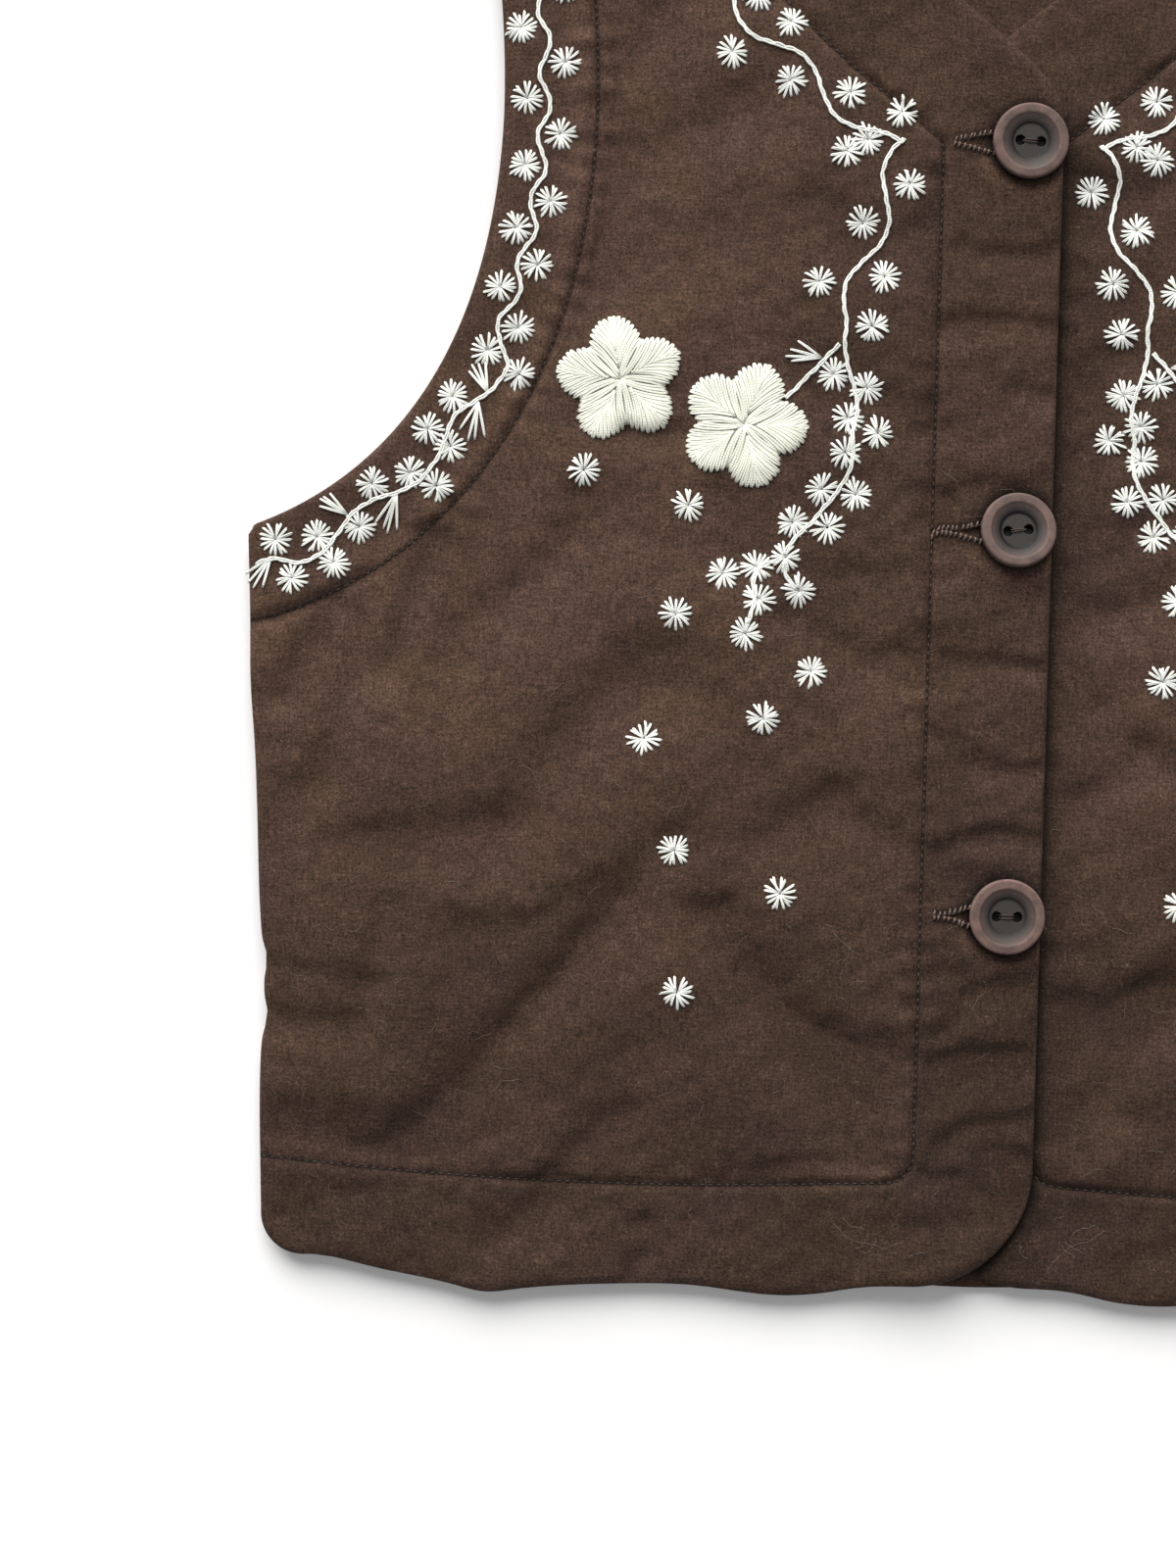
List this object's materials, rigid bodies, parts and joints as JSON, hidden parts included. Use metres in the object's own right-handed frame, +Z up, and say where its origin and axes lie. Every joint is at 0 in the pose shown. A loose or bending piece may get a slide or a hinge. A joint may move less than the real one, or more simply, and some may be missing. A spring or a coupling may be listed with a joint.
{
  "type": "embroidered waistcoat",
  "caption": "Padded cotton waistcoat laid flat: buttoned fronts over a back, topstitched facings, worked buttonholes and raised embroidered flowers.",
  "frame": {"origin": "on the surface that the waistcoat lies on, under the middle of its length and width", "axes": "+X to the wearer's left, +Y from the hem to the shoulders, +Z up out of the surface, with the fronts on top"},
  "size_m": [0.492, 0.5171, 0.0165],
  "materials": {
    "brown_cotton": "plain-weave cotton, lightly padded, matt with small slubs and lint",
    "embroidery_thread": "cream stranded thread, soft sheen",
    "button": "matt turned horn-like plastic, rims worn paler",
    "sewing_thread": "dark brown sewing thread"
  },
  "bodies": {
    "root": {"back": "brown_cotton", "front_right": "brown_cotton", "front_left": "brown_cotton", "button_1": "button", "button_2": "button", "button_3": "button", "button_thread_1": "sewing_thread", "button_thread_2": "sewing_thread", "button_thread_3": "sewing_thread", "flower_right_1": "embroidery_thread", "flower_right_2": "embroidery_thread", "flower_left_1": "embroidery_thread", "flower_left_2": "embroidery_thread"}
  },
  "joints": []
}
